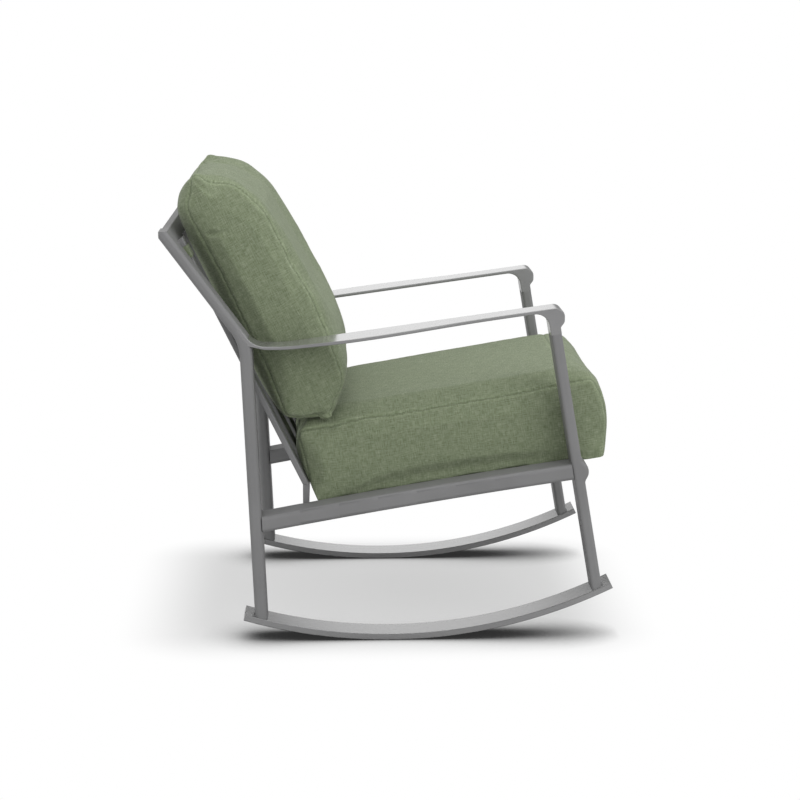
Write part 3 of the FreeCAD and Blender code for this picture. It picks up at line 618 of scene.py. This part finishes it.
def back_shape(points):
    """Lets the foot hang over the seat cushion's edges, slims the top front, and draws the corners into ears.

    The hang fades with height over the seat, the slimming with height, depth and width by smooth steps.
    """
    aside = soft_step((np.abs(points[:, 0]) - BACK_ASIDE) / BACK_ASIDE_FADE)
    ahead = soft_step((points @ seat_forward - FOOT_HANG_REAR) / FOOT_HANG_FADE)
    foot = np.exp(-np.maximum(points @ seat_up - seat_high[2], 0) / FOOT_REACH)
    hang = foot * (FOOT_HANG_MIDDLE + (FOOT_HANG - FOOT_HANG_MIDDLE) * aside * ahead)
    upper = soft_step((points[:, 2] - SLIM_FROM) / SLIM_RISE)
    front = soft_step((points @ back_forward - back_slat_face - SLIM_DEPTH_FROM) / SLIM_DEPTH_FADE)
    slim = upper * front * (SLIM_SIDE + (SLIM_MIDDLE - SLIM_SIDE) * (1 - aside))
    shaped = points - hang[:, None] * seat_up - slim[:, None] * back_forward
    for centre, reach, move in BACK_EARS:
        shaped = pulled(shaped, centre, reach, move)
    return shaped


def back_seams():
    """Leaf-shaped side panel seams, and the seams from ear to ear along the top and along the foot."""
    share = np.linspace(-1.0, 1.0, SEAM_POINTS)
    paths = side_panel_seams("back_cushion_filling")
    seam_x = np.abs(paths[0][:, 0]).max()
    for side_place, middle_place in BACK_SEAMS:
        inward = np.array(middle_place) - np.array(side_place)
        side_view = np.array(side_place) + np.outer(squarish_arc(share), inward)
        paths.append(np.column_stack([share * seam_x, side_view]))
    return paths


def back_limit(points):
    """Keeps the back cushion flat on the slats and clear of the arms."""
    points = points.copy()
    points[:, 0] = np.clip(points[:, 0], -side_limit, side_limit)
    return clear_of_back_slats(points)


back_cushion = cushion("back_cushion", "back_cushion_filling", back_shape, back_limit,
                       back_seams(), BACK_FOLDS, back_axes, BACK_SEED)
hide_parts("back_cushion_cover", "back_cushion_filling")
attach(back_cushion, "back_cushion")


# Straps: flat loops of the cover's own fabric, folded double and hemmed, sewn to the back cushion's corners.
# Each is tied round a side bar of the back just below the top rail.
STRAP_THICK = 0.0016
STRAP_CORNER = 0.0032
STRAP_HEM = 0.0025
STRAP_HEM_THIN = 0.75
STRAP_WAVE = 0.02
STRAP_WAVES = 3
STRAP_POINTS = 128
STRAP_PROFILE_POINTS = 40
# The straps' weave is the cover's, darkened throughout: painted shade on the straps, which sit behind the back
# cushion.
STRAP_PAINTED_SHADE = 0.8
strap_shaded_weave = woven_fabric("sage_painted_shade_weave", shade(SAGE, STRAP_PAINTED_SHADE), shade(SAGE_DARK, STRAP_PAINTED_SHADE),
                           shade(SAGE_PALE, STRAP_PAINTED_SHADE))


def make_object(name, points, faces, material):
    """Mesh object at the origin from a point array and a list of faces."""
    mesh = bpy.data.meshes.new(name)
    mesh.from_pydata(points.tolist(), [], faces)
    smooth_shaded(mesh, material)
    piece = bpy.data.objects.new(name, mesh)
    scene.collection.objects.link(piece)
    return piece


def grid_faces(rows, columns, closed):
    """Quads of a grid of points, row by row; a closed grid meets itself again in both directions."""
    index = np.arange(rows * columns).reshape(rows, columns)
    if closed:
        index = np.pad(index, (0, 1), mode="wrap")
    corners = [index[:-1, :-1], index[1:, :-1], index[1:, 1:], index[:-1, 1:]]
    return np.stack(corners, axis=-1).reshape(-1, 4).tolist()


def grid_uv(piece, by_row, by_column):
    """UV map in metres of a grid: one coordinate from a point's row, the other from its column."""
    mesh = piece.data
    index = np.empty(len(mesh.loops), dtype=np.int32)
    mesh.loops.foreach_get("vertex_index", index)
    uv = np.stack([by_row[index // len(by_column)], by_column[index % len(by_column)]], axis=1)
    layer = mesh.uv_layers.new(name="cloth")
    layer.data.foreach_set("uv", uv.astype(np.float32).ravel())


def strap_loop(node):
    """Band swept round a rounded box: path angle by profile angle, thinner at its hems, slightly wavy.

    The path is a circle pushed out to the box's corners, the profile a flattened squarish circle.
    """
    local = node_points(node) @ back_axes.T
    low = local.min(axis=0)
    high = local.max(axis=0)
    centre = (low + high) / 2
    reach = (high[[0, 2]] - low[[0, 2]] - STRAP_THICK) / 2
    turn = np.linspace(0, 2 * math.pi, STRAP_POINTS, endpoint=False)
    outward = np.stack([np.cos(turn), np.sin(turn)], axis=1)
    path = np.clip(outward * 2, -1, 1) * (reach - STRAP_CORNER) + outward * STRAP_CORNER
    around = np.linspace(0, 2 * math.pi, STRAP_PROFILE_POINTS, endpoint=False)
    half_width = (high[1] - low[1]) / 2
    edge = np.sign(np.cos(around)) * np.abs(np.cos(around)) ** 0.25 * half_width
    thick = np.sign(np.sin(around)) * np.abs(np.sin(around)) ** 0.4 * STRAP_THICK / 2
    inside_hem = np.clip((half_width - np.abs(edge)) / STRAP_HEM, 0, 1)
    thick = thick * (STRAP_HEM_THIN + (1 - STRAP_HEM_THIN) * inside_hem)
    flat = path[:, None, :] + outward[:, None, :] * thick[None, :, None]
    wave = 1 + STRAP_WAVE * np.sin(STRAP_WAVES * turn)
    up = edge[None, :] * wave[:, None]
    points = np.stack([flat[..., 0], up, flat[..., 1]], axis=-1).reshape(-1, 3) + centre
    faces = grid_faces(len(turn), len(around), closed=True)
    strap = make_object(node + "_cloth", points @ back_axes, faces, strap_shaded_weave)
    grid_uv(strap, np.linspace(0, 4 * reach.sum(), len(turn)), edge)
    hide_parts(node)
    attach(strap, "frame")


for side in ("left", "right"):
    strap_loop("cushion_strap_" + side)


# Zips: woven tape with a nylon coil, sewn into the rear band of the seat cover and into the foot
# of the back cover. The tape follows the swollen cover.
ZIP_PITCH = 0.0026
ZIP_POINTS_PER_TOOTH = 5
COIL_WIDTH = 0.0055
COIL_HEIGHT = 0.0014
COIL_TEETH = 0.4
TAPE_POINTS = 25
TAPE_LIFT = 0.0008
TAPE_MARGIN = 0.01
TAPE_FACING = 0.5
TAPE_TONE = 0.62
COARSE_ALONG = 25
COARSE_OVER = 4
tape_weave = woven_fabric("zip_tape", shade(SAGE, TAPE_TONE), shade(SAGE_DARK, TAPE_TONE),
                          shade(SAGE_PALE, TAPE_TONE))


def zip_on(node, cover, body):
    """Tape grid along and across the zip, laid on the nearest points of the cover, with a toothed coil on it.

    Its height is the cover's, read on a coarse grid and blended, plus a lift and the coil: a parabola across
    times a sine along, turned over from one side of the coil to the other.
    """
    points = node_points(node)
    centre = (points.min(axis=0) + points.max(axis=0)) / 2
    spread = points[:, 1:] - centre[1:]
    across_tape = np.linalg.eigh(spread.T @ spread)[1][:, 1]
    length = np.ptp(points[:, 0])
    width = np.ptp(spread @ across_tape)
    cover_points = get_points(cover.data)
    outward = np.array([-across_tape[1], across_tape[0]])
    outward *= np.sign((centre[1:] - cover_points[:, 1:].mean(axis=0)) @ outward)
    along = np.linspace(-length / 2, length / 2, int(length / ZIP_PITCH) * ZIP_POINTS_PER_TOOTH + 1)
    over = np.linspace(-width / 2, width / 2, TAPE_POINTS)
    cover_side = cover_points[:, 1:] - centre[1:]
    cover_flat = np.stack([cover_points[:, 0], cover_side @ across_tape], axis=1)
    facing = point_normals(cover.data)[:, 1:] @ outward > TAPE_FACING
    under_tape = np.abs(cover_flat) < np.array([length, width]) / 2 + TAPE_MARGIN
    near = facing & under_tape.all(axis=1)
    coarse_along = along[::COARSE_ALONG]
    coarse_over = over[::COARSE_OVER]
    coarse = np.stack(np.meshgrid(coarse_along, coarse_over, indexing="ij"), axis=-1)
    nearest = nearest_on(coarse.reshape(-1, 2), cover_flat[near])[1]
    height = (cover_side @ outward)[near][nearest].reshape(coarse.shape[:2])
    height = np.array([np.interp(over, coarse_over, row) for row in height])
    height = np.array([np.interp(along, coarse_along, column) for column in height.T]).T
    coil = np.clip(1 - (2 * over / COIL_WIDTH) ** 2, 0, 1)[None, :]
    teeth = np.sin(2 * math.pi * along / ZIP_PITCH)[:, None] * np.sign(over)[None, :]
    height = height + TAPE_LIFT + COIL_HEIGHT * coil * (1 - COIL_TEETH + COIL_TEETH * teeth)
    side_view = centre[1:] + over[None, :, None] * across_tape + height[..., None] * outward
    across_view = np.broadcast_to(along[:, None, None], (len(along), len(over), 1))
    tape_points = np.concatenate([across_view, side_view], axis=2).reshape(-1, 3)
    faces = grid_faces(len(along), len(over), closed=False)
    tape = make_object(node + "_tape", tape_points, faces, tape_weave)
    grid_uv(tape, along, over)
    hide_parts(node)
    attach(tape, body)


zip_on("seat_cushion_zip", seat_cushion, "seat_cushion")
zip_on("back_cushion_zip", back_cushion, "back_cushion")


# Stage: a plain pale floor with a painted contact shadow near the chair, soft light from above and from the
# camera's side. The white background behind the chair shows in the satin tops of arms and rockers; to both sides
# the studio is darker.
WHITE = (1.0, 1.0, 1.0)
FLOOR_SIZE = 30.0
FLOOR_PAINT = (0.55, 0.55, 0.55)
FLOOR_WHITE = 0.5
# Painted contact shadow on the floor: how far the occlusion reaches, where the painted shadow is full, and its
# colour.
PAINTED_SHADOW_REACH = 0.1
PAINTED_SHADOW_FULL = 0.4
PAINTED_CONTACT_SHADOW = (0.05, 0.05, 0.05)
SHADOW_HALF = (0.3, 0.34, 0.0)
SHADOW_FADE = 0.22
SKY_LIGHT = 0.95
SKY_MIRRORED = 0.25
MIRROR_BRIGHT = math.radians(3.0)
MIRROR_DARK = math.radians(8.5)
CAMERA_PLACE = (-4.565, 0.1245, 1.247)
CAMERA_FORWARD = (0.98334, -0.03383, -0.17863)
CAMERA_LENS = 99.0
CAMERA_SENSOR = 36.0


def smooth_range(nodes, links, value, start, end, first, last):
    """Smooth step of a value: first at start, last at end."""
    node = nodes.new("ShaderNodeMapRange")
    node.interpolation_type = "SMOOTHSTEP"
    node.inputs["From Min"].default_value = start
    node.inputs["From Max"].default_value = end
    node.inputs["To Min"].default_value = first
    node.inputs["To Max"].default_value = last
    links.new(value, node.inputs["Value"])
    return node.outputs["Result"]


def calculated(nodes, links, kind, operation, *values):
    """Math or vector math node on other nodes' outputs and plain values: returns its outputs."""
    node = nodes.new(kind)
    node.operation = operation
    for socket, value in zip(node.inputs, values):
        if isinstance(value, bpy.types.NodeSocket):
            links.new(value, socket)
        else:
            socket.default_value = value
    return node.outputs


def floor_material():
    """White floor: lit paint round the chair, so that it keeps the shadows, turning plain white away from it.
    Near the chair an occlusion node darkens both the paint and the white: a painted contact shadow.

    The share of white grows with the distance from the rectangle that the chair stands on.
    """
    material, nodes, links, shader = new_material("studio_floor")
    # Painted contact shadow: the occlusion node darkens the floor paint and its white near the chair.
    contact = nodes.new("ShaderNodeAmbientOcclusion")
    contact.inputs["Distance"].default_value = PAINTED_SHADOW_REACH
    contact.samples = 8
    shadowed_paint = ramp(nodes, links, contact.outputs["AO"], [(PAINTED_SHADOW_FULL, PAINTED_CONTACT_SHADOW), (1.0, FLOOR_PAINT)])
    links.new(shadowed_paint, shader.inputs["Base Color"])
    shader.inputs["Roughness"].default_value = 0.9
    shader.inputs["Specular IOR Level"].default_value = 0.0
    shadowed_white = ramp(nodes, links, contact.outputs["AO"], [(PAINTED_SHADOW_FULL, PAINTED_CONTACT_SHADOW), (1.0, WHITE)])
    white = nodes.new("ShaderNodeEmission")
    links.new(shadowed_white, white.inputs["Color"])
    place = nodes.new("ShaderNodeTexCoord").outputs["Object"]
    place = calculated(nodes, links, "ShaderNodeVectorMath", "ABSOLUTE", place)["Vector"]
    place = calculated(nodes, links, "ShaderNodeVectorMath", "SUBTRACT", place, SHADOW_HALF)["Vector"]
    place = calculated(nodes, links, "ShaderNodeVectorMath", "MAXIMUM", place, (0.0, 0.0, 0.0))["Vector"]
    distance = calculated(nodes, links, "ShaderNodeVectorMath", "LENGTH", place)["Value"]
    fade = smooth_range(nodes, links, distance, 0.0, SHADOW_FADE, FLOOR_WHITE, 1.0)
    seen = nodes.new("ShaderNodeLightPath").outputs["Is Camera Ray"]
    share = calculated(nodes, links, "ShaderNodeMath", "MULTIPLY", seen, fade)["Value"]
    mixed = nodes.new("ShaderNodeMixShader")
    links.new(share, mixed.inputs["Fac"])
    links.new(shader.outputs["BSDF"], mixed.inputs[1])
    links.new(white.outputs["Emission"], mixed.inputs[2])
    output = next(node for node in nodes if node.type == "OUTPUT_MATERIAL")
    links.new(mixed.outputs["Shader"], output.inputs["Surface"])
    return material


def studio_world():
    """White to the camera, even light on matt surfaces, and a bright strip behind the chair for glossy ones.

    The strip's brightness is a smooth step of the angle from the +X direction, seen from above.
    """
    world = bpy.data.worlds.new("studio")
    world.use_nodes = True
    nodes = world.node_tree.nodes
    links = world.node_tree.links
    nodes.clear()
    rays = nodes.new("ShaderNodeLightPath")
    way = nodes.new("ShaderNodeSeparateXYZ")
    links.new(nodes.new("ShaderNodeTexCoord").outputs["Generated"], way.inputs["Vector"])
    turn = calculated(nodes, links, "ShaderNodeMath", "ARCTAN2", way.outputs["Y"], way.outputs["X"])["Value"]
    aside = calculated(nodes, links, "ShaderNodeMath", "ABSOLUTE", turn)["Value"]
    mirrored = smooth_range(nodes, links, aside, MIRROR_BRIGHT, MIRROR_DARK, 1.0, SKY_MIRRORED)
    level = nodes.new("ShaderNodeMix")
    level.inputs["A"].default_value = SKY_LIGHT
    links.new(mirrored, level.inputs["B"])
    links.new(rays.outputs["Is Glossy Ray"], level.inputs["Factor"])
    seen = nodes.new("ShaderNodeMix")
    seen.inputs["B"].default_value = 1.0
    links.new(rays.outputs["Is Camera Ray"], seen.inputs["Factor"])
    links.new(level.outputs["Result"], seen.inputs["A"])
    sky = nodes.new("ShaderNodeBackground")
    sky.inputs["Color"].default_value = (*WHITE, 1.0)
    links.new(seen.outputs["Result"], sky.inputs["Strength"])
    output = nodes.new("ShaderNodeOutputWorld")
    links.new(sky.outputs["Background"], output.inputs["Surface"])
    return world


def soft_light(name, place, target, size, watts):
    """Square area light that points at a target."""
    lamp = bpy.data.lights.new(name, "AREA")
    lamp.shape = "RECTANGLE"
    lamp.size = size
    lamp.size_y = size
    lamp.energy = watts
    light = bpy.data.objects.new(name, lamp)
    light.location = place
    light.rotation_euler = (Vector(target) - Vector(place)).to_track_quat("-Z", "Y").to_euler()
    scene.collection.objects.link(light)


half_floor = FLOOR_SIZE / 2
floor_points = np.array([(-half_floor, -half_floor, 0), (half_floor, -half_floor, 0),
                         (half_floor, half_floor, 0), (-half_floor, half_floor, 0)])
floor = make_object("studio_floor", floor_points, [(0, 1, 2, 3)], floor_material())
scene.world = studio_world()
soft_light("top_light", place=(-0.6, -0.3, 3.2), target=(0, 0, 0.3), size=2.6, watts=24.0)
soft_light("camera_side_light", place=(-3.2, -2.2, 2.2), target=(0, 0, 0.4), size=2.2, watts=26.0)

camera = bpy.data.objects.new("camera", bpy.data.cameras.new("camera"))
camera.data.lens = CAMERA_LENS
camera.data.sensor_width = CAMERA_SENSOR
camera.location = CAMERA_PLACE
camera.rotation_euler = Vector(CAMERA_FORWARD).to_track_quat("-Z", "Y").to_euler()
scene.collection.objects.link(camera)
scene.camera = camera
scene.view_settings.view_transform = "Standard"
